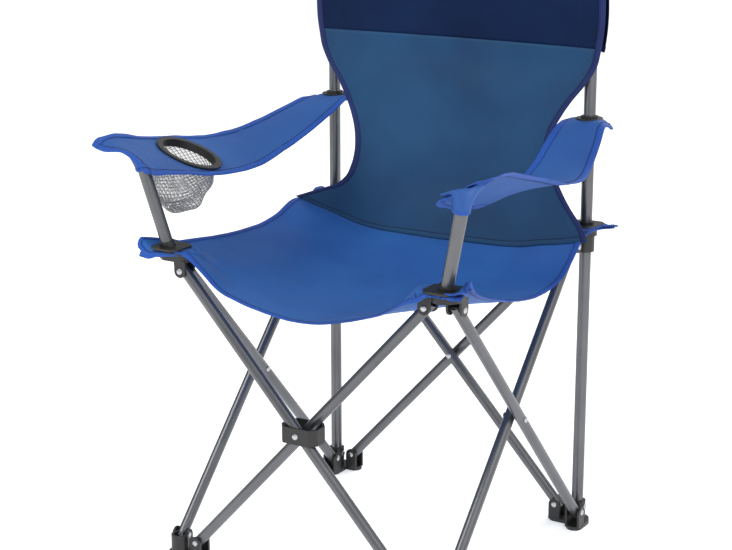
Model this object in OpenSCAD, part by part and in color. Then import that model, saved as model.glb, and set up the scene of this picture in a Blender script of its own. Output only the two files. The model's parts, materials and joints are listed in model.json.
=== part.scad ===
// Folding quad camp chair: four pairs of crossed legs between four feet and four
// upper hubs, two rear uprights, two arm posts, and a fabric seat, back and arms.
// +X is the sitter's left, +Y is the rear, +Z is up. The floor is z = 0.

/* [Frame] */
// Distance between the left and right corner lines
frame_w = 450; // [420:5:520]
// Distance from a foot's corner line to the pivot of its front or rear leg
pivot_x = 30; // [28:1:36]
// The same for the side legs, at the front corners
pivot_y_front = 18; // [18:1:24]
// The same for the side legs, at the rear corners
pivot_y_rear = 28; // [28:1:34]
// Height of the lower pivots
foot_pivot_z = 28; // [28:1:34]
// Height of the upper pivots
hub_pivot_z = 452; // [400:2:480]
// Height of the rear uprights
upright_top = 872; // [820:2:940]
// Rise of the arm posts' tops
post_top = 606; // [590:2:640]

/* [Tubes] */
// Outer diameter of the crossed legs
leg_d = 16; // [14:0.5:17]
// Outer diameter of the uprights and arm posts
post_d = 18; // [16:0.5:18]
// Wall of every tube
wall = 0.8; // [0.7:0.1:1.5]
// Tube left beyond each pivot hole
leg_end = 9; // [7:0.5:9]

/* [Fabric] */
// Thickness of the fabric solids
cloth = 1.6; // [1.2:0.2:2]
// Sag of the seat's front edge
front_sag = 72; // [50:2:80]
// Sag of the seat's left and right side edges
side_sag = [18, 56]; // [0:2:60]

/* [Hidden] */
$fn = 48;

// Plan: the legs between two corners share one span, so the frame folds square.
span = frame_w - 2 * pivot_x;
frame_d = span + pivot_y_front + pivot_y_rear;
corner_x = frame_w / 2;
plan_shift = 11; // puts the whole chair's box over the origin
front_y = -frame_d / 2 + plan_shift;
rear_y = frame_d / 2 + plan_shift;
leg_rise = hub_pivot_z - foot_pivot_z;
leg_len = norm([span, leg_rise]);
lean = atan(span / leg_rise);
mid_z = (foot_pivot_z + hub_pivot_z) / 2;
leg_r = leg_d / 2;
post_r = post_d / 2;
plane = leg_r + 1; // offset of a leg's plane from its corner line

// Fits
rivet_r = 2.4;
hole_r = 2.45;
slide_gap = 0.3;
ear_gap = 0.6;
ear_t = 3.5;
ear_r = 9.5;

// Heights of the upper hubs' deck, the fabric on it and the plate over that
deck_z = hub_pivot_z + 13;
deck_h = 12;
cloth_z = deck_z + deck_h + 0.3;
plate_z = cloth_z + cloth + 0.3;
plate_h = 3;

// Arm posts lean outwards and forwards from their hubs
post_lean = [-7, -14.5];
post_base_z = deck_z + 1;
post_len = (post_top - post_base_z) / (cos(post_lean[0]) * cos(post_lean[1]));

steel = "#8d9095";
plastic = "#17181a";
rivet_colour = "#c9cbd0";
blue = "#2a5cb4";
net_colour = "#b9bcc0";

// ---------- placing ----------

// sx, sy: +1 for the right or the front corner. Local +x and +y point inwards.
module corner(sx, sy)
    translate([sx * corner_x, sy > 0 ? front_y : rear_y, 0])
        mirror([sx > 0 ? 1 : 0, 0, 0])
            mirror([0, sy > 0 ? 0 : 1, 0])
                children();

module along_x() rotate([0, 90, 0]) children();
module along_y() rotate([90, 0, 0]) children();

// ---------- tubes ----------

// A leg along +Z from its lower pivot, with its three cross holes along Y.
module leg()
    color(steel)
        difference() {
            translate([0, 0, -leg_end]) cylinder(r = leg_r, h = leg_len + 2 * leg_end);
            translate([0, 0, -leg_end - 1])
                cylinder(r = leg_r - wall, h = leg_len + 2 * leg_end + 2);
            for (z = [0, leg_len / 2, leg_len])
                translate([0, 0, z])
                    along_y() cylinder(r = hole_r, h = 2 * leg_d, center = true);
        }

// A leg of the front or rear pair: side is the corner of its foot, y its plane.
module wide_leg(side, y)
    translate([side * (corner_x - pivot_x), y, foot_pivot_z])
        rotate([0, -side * lean, 0]) leg();

// A leg of a side pair, rising to the rear (from +1) or to the front (from -1).
module deep_leg(x, from)
    translate([x, from > 0 ? front_y + pivot_y_front : rear_y - pivot_y_rear, foot_pivot_z])
        rotate([-from * lean, 0, 0]) rotate([0, 0, 90]) leg();

module upright(side)
    color(steel)
        translate([side * corner_x, rear_y, 6])
            difference() {
                cylinder(r = post_r, h = upright_top - 6);
                translate([0, 0, -1]) cylinder(r = post_r - wall, h = upright_top);
                translate([0, 0, 20])
                    along_x() cylinder(r = hole_r, h = 2 * post_d, center = true);
            }

module post_axis(side)
    translate([side * corner_x, front_y, post_base_z])
        rotate([-post_lean[0], -side * post_lean[1], 0])
            children();

module arm_post(side)
    color(steel)
        post_axis(side)
            difference() {
                cylinder(r = post_r, h = post_len);
                translate([0, 0, -1]) cylinder(r = post_r - wall, h = post_len + 2);
            }

// A plug with a domed head that closes the top of a post or upright.
module tube_cap()
    color(plastic) {
        translate([0, 0, -14]) cylinder(r = post_r - wall - 0.05, h = 14);
        rotate_extrude()
            polygon([for (a = [0:15:90]) [post_r * cos(a), 1.5 + 4 * sin(a)], [0, 0], [post_r, 0]]);
    }

// ---------- feet, hubs and sliders ----------

// Two ears of a clevis for a leg whose pivot runs along Y, rooted at root_z.
module ears(root_z, pivot_z)
    for (s = [-1, 1])
        translate([0, s * (leg_r + ear_gap + ear_t / 2), 0]) {
            translate([0, 0, pivot_z])
                along_y() cylinder(r = ear_r, h = ear_t, center = true);
            translate([-ear_r, -ear_t / 2, min(root_z, pivot_z)])
                cube([2 * ear_r, ear_t, abs(root_z - pivot_z)]);
        }

module ear_hole(pivot_z)
    translate([0, 0, pivot_z])
        along_y() cylinder(r = hole_r, h = 60, center = true);

// The room a leg's end needs between the ears as it turns.
module leg_sweep(pivot_z)
    translate([0, 0, pivot_z])
        along_y() cylinder(r = norm([leg_end, leg_r]) + ear_gap, h = 2 * (leg_r + ear_gap), center = true);

// Places a clevis on the x arm (leg plane y = in_x) or the y arm of a corner.
module on_x_arm(x_plane) translate([pivot_x, x_plane, 0]) children();
module on_y_arm(y_plane, offset) translate([y_plane, offset, 0]) rotate([0, 0, 90]) children();

// Plan of a foot or hub: a corner disc with an arm under each clevis.
module deck(x_plane, y_plane, offset, corner_r, z, h) {
    arm_r = leg_r + ear_gap + ear_t + 0.4;
    translate([0, 0, z]) {
        cylinder(r = corner_r, h = h);
        hull() {
            translate([4, x_plane, 0]) cylinder(r = arm_r, h = h, $fn = 32);
            translate([pivot_x, x_plane, 0]) cylinder(r = arm_r, h = h, $fn = 32);
        }
        hull() {
            translate([y_plane, 4, 0]) cylinder(r = arm_r, h = h, $fn = 32);
            translate([y_plane, offset, 0]) cylinder(r = arm_r, h = h, $fn = 32);
        }
    }
}

socket_r = post_r + 4;
foot_socket_h = 36;

// A foot: sole, two clevises and a round socket, empty at the front corners, whose wall
// is open where the side leg's end turns.
module foot(x_plane, y_plane, offset)
    color(plastic)
        difference() {
            union() {
                deck(x_plane, y_plane, offset, 19, 0, 6);
                cylinder(r = socket_r, h = foot_socket_h);
                on_x_arm(x_plane) ears(3, foot_pivot_z);
                on_y_arm(y_plane, offset) ears(3, foot_pivot_z);
            }
            translate([0, 0, 6]) cylinder(r = post_r + 0.05, h = foot_socket_h);
            translate([0, 0, 26]) along_x() cylinder(r = hole_r, h = 50, center = true);
            on_x_arm(x_plane) ear_hole(foot_pivot_z);
            on_y_arm(y_plane, offset) {
                ear_hole(foot_pivot_z);
                leg_sweep(foot_pivot_z);
            }
        }

// A front upper hub: a deck with two clevises under it and the arm post's socket.
module front_hub(side, x_plane, y_plane)
    color(plastic)
        difference() {
            union() {
                corner(side, 1) {
                    deck(x_plane, y_plane, pivot_y_front, 17, deck_z, deck_h);
                    on_x_arm(x_plane) ears(deck_z + 2, hub_pivot_z);
                    on_y_arm(y_plane, pivot_y_front) ears(deck_z + 2, hub_pivot_z);
                }
                post_axis(side) translate([0, 0, 4]) cylinder(r = post_r + 2.4, h = 19);
            }
            post_axis(side) cylinder(r = post_r + 0.05, h = 60);
            corner(side, 1) {
                on_x_arm(x_plane) ear_hole(hub_pivot_z);
                on_y_arm(y_plane, pivot_y_front) ear_hole(hub_pivot_z);
            }
        }

// A rear slider: the same deck on a long collar that runs on the upright.
module slider(x_plane, y_plane)
    color(plastic)
        difference() {
            union() {
                deck(x_plane, y_plane, pivot_y_rear, 17, deck_z, deck_h);
                translate([0, 0, hub_pivot_z - 12])
                    cylinder(r = socket_r + 0.5, h = deck_z + deck_h - hub_pivot_z + 12);
                translate([0, 0, deck_z]) cylinder(r = post_r + 2.4, h = deck_h + 9);
                on_x_arm(x_plane) ears(deck_z + 2, hub_pivot_z);
                on_y_arm(y_plane, pivot_y_rear) ears(deck_z + 2, hub_pivot_z);
            }
            translate([0, 0, 400]) cylinder(r = post_r + slide_gap, h = 200);
            on_x_arm(x_plane) ear_hole(hub_pivot_z);
            on_y_arm(y_plane, pivot_y_rear) ear_hole(hub_pivot_z);
        }

// The band that holds the two front legs where they cross.
bracket_h = 24;
module bracket_plan(grow)
    polygon([for (p = [[1, 0.45], [0.7, 1], [-0.7, 1], [-1, 0.45],
                       [-1, -0.45], [-0.7, -1], [0.7, -1], [1, -0.45]])
        [p[0] * (27 + grow), p[1] * (plane + leg_r + 0.6 + grow)]]);

module front_bracket()
    color(plastic)
        translate([0, front_y, mid_z])
            difference() {
                linear_extrude(bracket_h, center = true) bracket_plan(3.4);
                linear_extrude(bracket_h + 2, center = true) bracket_plan(0);
                along_y() cylinder(r = hole_r, h = 80, center = true);
            }

// ---------- rivets ----------

// A rivet along Y, domed at both ends, with flat faces `grip` apart.
module rivet(grip)
    color(rivet_colour)
        along_y()
            rotate_extrude()
                polygon(concat(
                    [[0, grip / 2 + 2.2]],
                    [for (a = [75:-25:0]) [4.6 * cos(a), grip / 2 + 0.4 + 1.8 * sin(a)]],
                    [[4.6, grip / 2], [rivet_r, grip / 2], [rivet_r, -grip / 2], [4.6, -grip / 2]],
                    [for (a = [0:25:75]) [4.6 * cos(a), -grip / 2 - 0.4 - 1.8 * sin(a)]],
                    [[0, -grip / 2 - 2.2]]));

ear_grip = 2 * (leg_r + ear_gap + ear_t);

module clevis_rivets(x_plane, y_plane, offset, z) {
    on_x_arm(x_plane) translate([0, 0, z]) rivet(ear_grip);
    on_y_arm(y_plane, offset) translate([0, 0, z]) rivet(ear_grip);
}

module foot_rivets(x_plane, y_plane, offset, filled) {
    clevis_rivets(x_plane, y_plane, offset, foot_pivot_z);
    if (filled) translate([0, 0, 26]) rotate([0, 0, 90]) rivet(2 * socket_r);
}

module bracket_rivets()
    for (s = [-1, 1])
        translate([0, front_y + s * (plane + leg_r / 2 + 3), mid_z])
            rivet(leg_r + 2);

// ---------- plates and grommets ----------

// The plate that clamps a seat corner to its hub.
module seat_plate(side, front)
    color(plastic)
        difference() {
            translate([side * corner_x, front ? front_y : rear_y, plate_z])
                linear_extrude(plate_h)
                    polygon([for (p = [[1, .6], [.6, 1], [-.6, 1], [-1, .6],
                                       [-1, -.6], [-.6, -1], [.6, -1], [1, -.6]])
                        25 * p]);
            if (front) post_axis(side) cylinder(r = post_r + 2.8, h = 60);
            else translate([side * corner_x, rear_y, 400]) cylinder(r = post_r + 2.8, h = 200);
        }

grommet_z = 642;
module arm_grommet(side)
    color(plastic)
        translate([side * corner_x, rear_y, grommet_z])
            difference() {
                union() {
                    cylinder(r = 20, h = 2);
                    cylinder(r = 13, h = 5);
                    translate([0, 0, -2.8 - cloth]) cylinder(r = 17, h = 2);
                }
                translate([0, 0, -10]) cylinder(r = post_r + 0.2, h = 30);
            }

// ---------- fabric sheets ----------

// A closed sheet from rows of points on its upper or front face, each row the same
// length and running along +X, with a second skin displaced by `skin`.
module sheet(rows, skin) {
    nr = len(rows);
    nc = len(rows[0]);
    n = nr * nc;
    top = [for (r = rows) for (p = r) p];
    under = [for (p = top) p + skin];
    rim = concat([for (j = [0:nc - 2]) [j, j + 1]],
        [for (i = [0:nr - 2]) [i * nc + nc - 1, (i + 1) * nc + nc - 1]],
        [for (j = [nc - 1:-1:1]) [(nr - 1) * nc + j, (nr - 1) * nc + j - 1]],
        [for (i = [nr - 1:-1:1]) [i * nc, (i - 1) * nc]]);
    cells = [for (i = [0:nr - 2]) for (j = [0:nc - 2]) i * nc + j];
    color(blue)
        polyhedron(concat(top, under), concat(
            [for (c = cells) [c, c + nc, c + 1]],
            [for (c = cells) [c + 1, c + nc, c + nc + 1]],
            [for (c = cells) [n + c, n + c + 1, n + c + nc]],
            [for (c = cells) [n + c + 1, n + c + nc + 1, n + c + nc]],
            [for (e = rim) [e[0], e[1], n + e[0]]],
            [for (e = rim) [e[1], n + e[1], n + e[0]]]));
}

// Straight-line reading of a table of [key, value] pairs.
function read(table, key) = lookup(key, table);

// Seat: x across from -1 to 1, t from the front hem (0) to the rear hem (1).
// Its corners end in patches; its rear hem runs just behind the seam with the back.
seat_centre = [[0, cloth_z - front_sag], [0.25, cloth_z - 80], [0.5, cloth_z - 82],
    [0.7, cloth_z - 72], [0.86, cloth_z - 54], [1, cloth_z - 36]];
function seat_x(x, t) = x * (243 + 20 * pow(abs(2 * t - 1), 4));
function seat_y(x, t) = let (
        c = 1 - x * x,
        front_hem = front_y - 26 + 12 * c,
        rear_hem = rear_y + 16 - 82 * c * c)
    front_hem + t * (rear_hem - front_hem);
function seat_edge_z(x, t) = cloth_z - side_sag[x < 0 ? 0 : 1] * pow(sin(180 * t), 1.2);
function reach(v, low, high) = max(0, v < low ? low - v : v - high);
// Distance in plan outside the deck of the nearest hub
function off_hub(px, py) = let (
        lx = corner_x - abs(px),
        ly = min(py - front_y, rear_y - py))
    norm([reach(lx, -24, 45), reach(ly, -23, 42)]);
function seat_z(x, t) = let (
        bowl = pow(1 - x * x, 1.15),
        sling = read(seat_centre, t) * bowl + seat_edge_z(x, t) * (1 - bowl),
        on_deck = cloth_z - 2.2 * max(0, off_hub(seat_x(x, t), seat_y(x, t)) - 1))
    max(sling, on_deck);
function seat_point(x, t) = [seat_x(x, t), seat_y(x, t), seat_z(x, t) + cloth];

seat_steps = [0, .1, .3, .5, .65, .75, .8, .85, .9, .95, 1]; // from the middle to the side
seat_rows = [0, .03, .06, .09, .12, .16, .22, .3, .4, .5, .6, .7, .78, .84, .88, .92, .96, 1];
module seat_half(side)
    difference() {
        sheet([for (t = seat_rows) [for (k = seat_steps)
            seat_point(side > 0 ? k : k - 1, t)]], [0, 0, -cloth]);
        for (front = [1, -1])
            corner(side, front)
                translate([0, 0, cloth_z - 40]) linear_extrude(60) patch_plan(0.6);
    }

// The sewn patch under each plate, cut round the post or upright.
module patch_plan(grow)
    polygon([for (p = [[-40, -26], [34, -25], [44, -12], [44, 16], [16, 44], [-20, 44], [-33, 30]])
        p + grow * [sign(p[0]), sign(p[1])]]);

module corner_patch(side, front)
    color(blue)
        difference() {
            corner(side, front ? 1 : -1)
                translate([0, 0, cloth_z]) linear_extrude(cloth) patch_plan(0);
            if (front) post_axis(side) cylinder(r = post_r + 2.8, h = 60);
            else translate([side * corner_x, rear_y, 400]) cylinder(r = post_r + 2.8, h = 200);
        }

// Back: x across from -1 to 1, z is the height on the panel.
seam_z = cloth_z + 3;
back_waist = [[620, 175], [645, 188], [669, 203], [693, 223], [720, 239], [745, 245], [900, 246]];
back_left = concat([[seam_z, 256], [496, 216], [508, 184], [520, 170], [540, 162], [560, 160],
    [590, 164]], back_waist);
back_right = concat([[seam_z, 260], [492, 254], [503, 244], [520, 225], [546, 202], [575, 183],
    [600, 174]], back_waist);
back_front = [[seam_z, 70], [540, 48], [600, 32], [680, 20], [720, 13], [900, 13]];
back_top = upright_top - 2;
// The lower edge dips with the seat's seam
function back_dip(x, z) = 34 * (1 - x * x) * max(0, 1 - (z - seam_z) / 110);
function back_point(x, z) = let (hollow = (1 - x * x) * min(1, (back_top - z) / 120 + 0.3))
    [x * read(x < 0 ? back_left : back_right, z), rear_y - read(back_front, z) + 10 * hollow,
     z - back_dip(x, z)];
back_across = [-1, -.8, -.6, -.4, -.2, 0, .2, .4, .6, .8, 1];
module back_part(zs)
    sheet([for (z = zs) [for (x = back_across) back_point(x, z)]], [0, cloth, 0]);

// Armrests: [y from the chair's middle, centre x, centre z, half width, slope].
// The slope is in degrees, with the inner edge lower.
left_arm = [[-266, -262, 624, 56, 23], [-236, -258, 618, 60, 23], [-190, -252, 607.5, 61, 22],
    [-90, -245, 593.5, 58, 22], [-40, -242, 591, 52, 21], [30, -238, 598, 46, 17],
    [130, -230, 622, 41, 9], [185, -226, 637.5, 37, 3], [197, -225, 641.4, 36, 0],
    [206, -225, 641.6, 35, 0]];
right_arm = [[-266, 262, 624, 56, 23], [-236, 261, 622, 54, 28], [-200, 257, 615, 54, 31],
    [-133, 252, 600, 52, 33], [-92, 250, 592, 50, 31], [-34, 246, 583, 48, 22],
    [30, 241, 578.5, 46, 9], [60, 238, 579, 45, 3], [106, 234, 589, 43, -8],
    [140, 230, 606, 41, -13], [175, 227, 628, 38, -8], [197, 225, 641.4, 36, 0],
    [206, 225, 641.6, 35, 0]];
arm_fold_y = 30; // the arms crease here as the frame folds
arm_across = [-1, -.5, 0, .5, 1];
function arm_row(s, side) = [for (k = arm_across)
    [s[1] + k * s[3] * cos(s[4]), s[0] + plan_shift, s[2] + side * k * s[3] * sin(s[4])]];
module arm_part(stations, side, low, high)
    sheet([for (s = stations) if (s[0] >= low && s[0] <= high) arm_row(s, side)], [0, 0, -cloth]);

// ---------- cup holder ----------

cup_y = -140 + plan_shift;
cup_r = 41;
cup_centre = [-248.5, cup_y, 600.5];
cup_tilt = [-5.9, 22, 0];
module cup_axis() translate(cup_centre) rotate(cup_tilt) children();

module cup_ring()
    color(plastic)
        cup_axis()
            difference() {
                union() {
                    translate([0, 0, 0.6]) cylinder(r = cup_r + 9, h = 2.2);
                    translate([0, 0, -9]) cylinder(r = cup_r + 2, h = 10);
                }
                translate([0, 0, -10]) cylinder(r = cup_r, h = 20);
            }

module cup_ring_under()
    color(plastic)
        cup_axis()
            translate([0, 0, -cloth - 3])
                difference() {
                    cylinder(r = cup_r + 8, h = 2.4);
                    translate([0, 0, -1]) cylinder(r = cup_r + 2.1, h = 6);
                }

pouch_h = 72;
module cup_pouch()
    color(net_colour)
        cup_axis()
            rotate_extrude()
                polygon([[cup_r + 4, -5.2], [cup_r + 2.6, -5.2], [cup_r + 0.4, -30],
                    [cup_r - 7, -pouch_h + 14], [0, -pouch_h + 1.6],
                    [0, -pouch_h], [cup_r - 6, -pouch_h + 12], [cup_r + 1.8, -30]]);

// ---------- the parts ----------

IN = plane;
OUT = -plane;

corner(-1, 1) foot(IN, OUT, pivot_y_front);  // foot_front_left
corner(1, 1) foot(OUT, IN, pivot_y_front);  // foot_front_right
corner(-1, -1) foot(OUT, IN, pivot_y_rear);  // foot_rear_left
corner(1, -1) foot(IN, OUT, pivot_y_rear);  // foot_rear_right
front_hub(-1, OUT, IN);  // hub_front_left
front_hub(1, IN, OUT);  // hub_front_right
corner(-1, -1) slider(IN, OUT);  // slider_rear_left
corner(1, -1) slider(OUT, IN);  // slider_rear_right
front_bracket();
wide_leg(-1, front_y + plane);  // front_leg_a
wide_leg(1, front_y - plane);  // front_leg_b
deep_leg(-corner_x - plane, 1);  // left_leg_a
deep_leg(-corner_x + plane, -1);  // left_leg_b
deep_leg(corner_x - plane, 1);  // right_leg_a
deep_leg(corner_x + plane, -1);  // right_leg_b
wide_leg(-1, rear_y + plane);  // rear_leg_a
wide_leg(1, rear_y - plane);  // rear_leg_b
upright(-1);  // upright_left
upright(1);  // upright_right
arm_post(-1);  // arm_post_left
arm_post(1);  // arm_post_right
translate([-corner_x, rear_y, upright_top]) tube_cap();  // upright_cap_left
translate([corner_x, rear_y, upright_top]) tube_cap();  // upright_cap_right
post_axis(-1) translate([0, 0, post_len]) tube_cap();  // post_cap_left
post_axis(1) translate([0, 0, post_len]) tube_cap();  // post_cap_right
corner(-1, 1) foot_rivets(IN, OUT, pivot_y_front, false);  // rivets_foot_front_left
corner(1, 1) foot_rivets(OUT, IN, pivot_y_front, false);  // rivets_foot_front_right
corner(-1, -1) foot_rivets(OUT, IN, pivot_y_rear, true);  // rivets_foot_rear_left
corner(1, -1) foot_rivets(IN, OUT, pivot_y_rear, true);  // rivets_foot_rear_right
corner(-1, 1) clevis_rivets(OUT, IN, pivot_y_front, hub_pivot_z);  // rivets_hub_front_left
corner(1, 1) clevis_rivets(IN, OUT, pivot_y_front, hub_pivot_z);  // rivets_hub_front_right
corner(-1, -1) clevis_rivets(IN, OUT, pivot_y_rear, hub_pivot_z);  // rivets_slider_left
corner(1, -1) clevis_rivets(OUT, IN, pivot_y_rear, hub_pivot_z);  // rivets_slider_right
bracket_rivets();  // rivets_bracket
translate([-corner_x, front_y + pivot_y_front + span / 2, mid_z])  // rivet_left_cross
        rotate([0, 0, 90]) rivet(2 * (plane + leg_r));
translate([corner_x, front_y + pivot_y_front + span / 2, mid_z])  // rivet_right_cross
        rotate([0, 0, 90]) rivet(2 * (plane + leg_r));
translate([0, rear_y, mid_z]) rivet(2 * (plane + leg_r));  // rivet_rear_cross
seat_plate(-1, true);  // seat_plate_front_left
seat_plate(1, true);  // seat_plate_front_right
seat_plate(-1, false);  // seat_plate_rear_left
seat_plate(1, false);  // seat_plate_rear_right
arm_grommet(-1);  // arm_grommet_left
arm_grommet(1);  // arm_grommet_right
cup_ring();
cup_ring_under();
cup_pouch();
corner_patch(-1, true);  // corner_patch_front_left
corner_patch(1, true);  // corner_patch_front_right
corner_patch(-1, false);  // corner_patch_rear_left
corner_patch(1, false);  // corner_patch_rear_right
seat_half(-1);  // seat_left
seat_half(1);  // seat_right
back_part([745, 780, 825, back_top]);  // back_upper
back_part([seam_z, 496, 508, 520, 540, 560, 590, 620, 645, 669, 693, 720, 745]);  // back_lower
difference() {  // armrest_left_front
        arm_part(left_arm, -1, -300, arm_fold_y);
        cup_axis() cylinder(r = cup_r + 2.6, h = 40, center = true);
    }
arm_part(left_arm, -1, arm_fold_y, 300);  // armrest_left_rear
arm_part(right_arm, 1, -300, arm_fold_y);  // armrest_right_front
arm_part(right_arm, 1, arm_fold_y, 300);  // armrest_right_rear
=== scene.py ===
"""Looks of a folding quad camp chair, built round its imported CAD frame.

Fabric shapes are worked out in millimetres from the frame's own corners and turned into
metres when a mesh is made. +X is the sitter's left, -Y the front and +Z is up.
"""

import json
import math

import bpy
import numpy as np
from mathutils import Matrix, Vector, noise


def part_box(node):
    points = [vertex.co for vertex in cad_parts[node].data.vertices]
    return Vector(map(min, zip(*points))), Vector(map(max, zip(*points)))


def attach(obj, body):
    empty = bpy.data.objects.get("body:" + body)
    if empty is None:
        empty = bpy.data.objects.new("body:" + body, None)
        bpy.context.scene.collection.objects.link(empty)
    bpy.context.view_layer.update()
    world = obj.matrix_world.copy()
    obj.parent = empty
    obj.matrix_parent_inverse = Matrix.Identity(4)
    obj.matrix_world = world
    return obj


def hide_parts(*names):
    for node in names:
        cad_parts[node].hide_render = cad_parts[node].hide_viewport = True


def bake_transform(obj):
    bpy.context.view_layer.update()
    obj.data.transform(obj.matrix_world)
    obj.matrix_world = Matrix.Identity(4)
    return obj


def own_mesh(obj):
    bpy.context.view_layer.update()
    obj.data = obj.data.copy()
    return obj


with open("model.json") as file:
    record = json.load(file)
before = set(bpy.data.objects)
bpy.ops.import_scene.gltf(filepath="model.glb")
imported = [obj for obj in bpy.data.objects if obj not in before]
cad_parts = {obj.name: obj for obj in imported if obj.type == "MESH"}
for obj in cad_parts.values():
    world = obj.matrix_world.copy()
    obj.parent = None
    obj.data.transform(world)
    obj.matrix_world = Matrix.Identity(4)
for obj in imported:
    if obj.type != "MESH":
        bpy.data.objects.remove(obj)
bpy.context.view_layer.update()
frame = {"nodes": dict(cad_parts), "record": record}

MM = 0.001


# ---------- places read from the frame, in millimetres ----------

def corners_mm(node):
    """The lowest and highest corner of a CAD node."""
    low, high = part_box(node)
    return low / MM, high / MM


def middle_mm(node):
    low, high = corners_mm(node)
    return (low + high) / 2


CORNER_X = middle_mm("upright_right").x
REAR_Y = middle_mm("upright_right").y
FRONT_Y = middle_mm("seat_plate_front_right").y
PLATE_Z = corners_mm("seat_plate_front_right")[0].z
CAP_TOP = corners_mm("upright_cap_right")[1].z
CLOTH_Z = PLATE_Z - 1.1  # middle of the cloth under the plates
MID_Y = (FRONT_Y + REAR_Y) / 2


# ---------- camera ----------

def make_camera():
    """The camera stands off the front right corner, a little above the seat."""
    azimuth, elevation, roll = math.radians(31.776), math.radians(15.016), math.radians(-0.05)
    target, distance = Vector((-15.7, -13.6, 423.3)) * MM, 2611.6 * MM
    back = Vector((
        math.sin(azimuth) * math.cos(elevation),
        -math.cos(azimuth) * math.cos(elevation),
        math.sin(elevation),
    ))
    data = bpy.data.cameras.new("camera")
    data.sensor_width = 36
    data.lens = 87.08
    camera = bpy.data.objects.new("camera", data)
    bpy.context.scene.collection.objects.link(camera)
    camera.rotation_mode = "QUATERNION"
    camera.location = target + back * distance
    turn = (-back).to_track_quat("-Z", "Y").to_matrix() @ Matrix.Rotation(roll, 3, "Z")
    camera.rotation_quaternion = turn.to_quaternion()
    bpy.context.scene.camera = camera


make_camera()


# ---------- materials ----------

class Nodes:
    """A short way to write a material's node tree."""

    def __init__(self, name):
        self.material = bpy.data.materials.new(name)
        self.material.use_nodes = True
        self.tree = self.material.node_tree
        self.shader = self.tree.nodes["Principled BSDF"]
        self.output = self.tree.nodes["Material Output"]

    def add(self, kind, **values):
        """A node of that kind. A value is a property of the node, a number, or a socket."""
        node = self.tree.nodes.new(kind)
        for key, value in values.items():
            if hasattr(node, key) and key not in node.inputs:
                setattr(node, key, value)
            else:
                self.feed(node.inputs[key.replace("_", " ")], value)
        return node

    def feed(self, socket, value):
        if isinstance(value, bpy.types.NodeSocket):
            self.tree.links.new(value, socket)
        else:
            socket.default_value = value

    def math(self, operation, a, b=0.0):
        node = self.tree.nodes.new("ShaderNodeMath")
        node.operation = operation
        self.feed(node.inputs[0], a)
        self.feed(node.inputs[1], b)
        return node.outputs[0]

    def ramp(self, factor, low, high, start=0.0, end=1.0):
        """A factor read between two colours."""
        node = self.tree.nodes.new("ShaderNodeValToRGB")
        stops = node.color_ramp.elements
        stops[0].position, stops[0].color = start, (*low, 1)
        stops[1].position, stops[1].color = end, (*high, 1)
        self.feed(node.inputs[0], factor)
        return node.outputs[0]

    def noise(self, scale, detail=2.0, stretch=(1, 1, 1)):
        """Noise in the object's own metres: scale is the number of blotches to a metre."""
        place = self.add("ShaderNodeTexCoord").outputs["Object"]
        spread = self.tree.nodes.new("ShaderNodeMapping")
        spread.inputs["Scale"].default_value = stretch
        self.feed(spread.inputs["Vector"], place)
        node = self.tree.nodes.new("ShaderNodeTexNoise")
        self.feed(node.inputs["Vector"], spread.outputs[0])
        node.inputs["Scale"].default_value = scale
        node.inputs["Detail"].default_value = detail
        return node.outputs[0]

    def bump(self, height, strength, depth):
        """Bump from a height of 0 to 1 that stands `depth` millimetres."""
        node = self.tree.nodes.new("ShaderNodeBump")
        node.inputs["Strength"].default_value = strength
        node.inputs["Distance"].default_value = depth * MM
        self.feed(node.inputs["Height"], height)
        self.feed(self.shader.inputs["Normal"], node.outputs[0])
        return node.outputs[0]

    def weave(self, pitch):
        """A plain weave of that pitch in millimetres, along the cloth's own UVs in metres."""
        uv = self.tree.nodes.new("ShaderNodeTexCoord").outputs["UV"]
        split = self.add("ShaderNodeSeparateXYZ", Vector=uv)
        turn = 2 * math.pi / (pitch * MM)
        across = self.math("SINE", self.math("MULTIPLY", split.outputs[0], turn))
        along = self.math("SINE", self.math("MULTIPLY", split.outputs[1], turn))
        return self.math("MULTIPLY_ADD", self.math("MULTIPLY", across, along), 0.5)


def tube_metal():
    """Grey metallic powder coat: fine orange peel, slightly lighter and darker patches."""
    m = Nodes("powder_coated_tube")
    patches = m.noise(9, 3)
    shade = m.ramp(patches, (0.12, 0.123, 0.13), (0.165, 0.168, 0.176), 0.3, 0.7)
    m.feed(m.shader.inputs["Base Color"], shade)
    m.shader.inputs["Metallic"].default_value = 0.8
    m.feed(m.shader.inputs["Roughness"], m.ramp(m.noise(60, 4), (0.27,) * 3, (0.36,) * 3))
    m.bump(m.noise(1800, 2), 0.25, 0.03)
    return m.material


def moulded_plastic(name, grey, roughness):
    """Black moulded plastic with a fine spark-eroded texture."""
    m = Nodes(name)
    shade = m.noise(35, 3)
    low, high = (grey * 0.8,) * 3, (grey * 1.3,) * 3
    m.feed(m.shader.inputs["Base Color"], m.ramp(shade, low, high, 0.35, 0.65))
    dull = m.ramp(shade, (roughness - 0.06,) * 3, (roughness + 0.08,) * 3)
    m.feed(m.shader.inputs["Roughness"], dull)
    m.bump(m.noise(2600, 3), 0.5, 0.05)
    return m.material


def bright_steel():
    """Zinc-plated rivet: bright, with faint draw marks."""
    m = Nodes("rivet_steel")
    marks = m.noise(900, 3)
    m.feed(m.shader.inputs["Base Color"], m.ramp(marks, (0.42, 0.43, 0.44), (0.56, 0.57, 0.59)))
    m.shader.inputs["Metallic"].default_value = 1.0
    m.feed(m.shader.inputs["Roughness"], m.ramp(marks, (0.2,) * 3, (0.34,) * 3))
    m.bump(marks, 0.2, 0.05)
    return m.material


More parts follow.
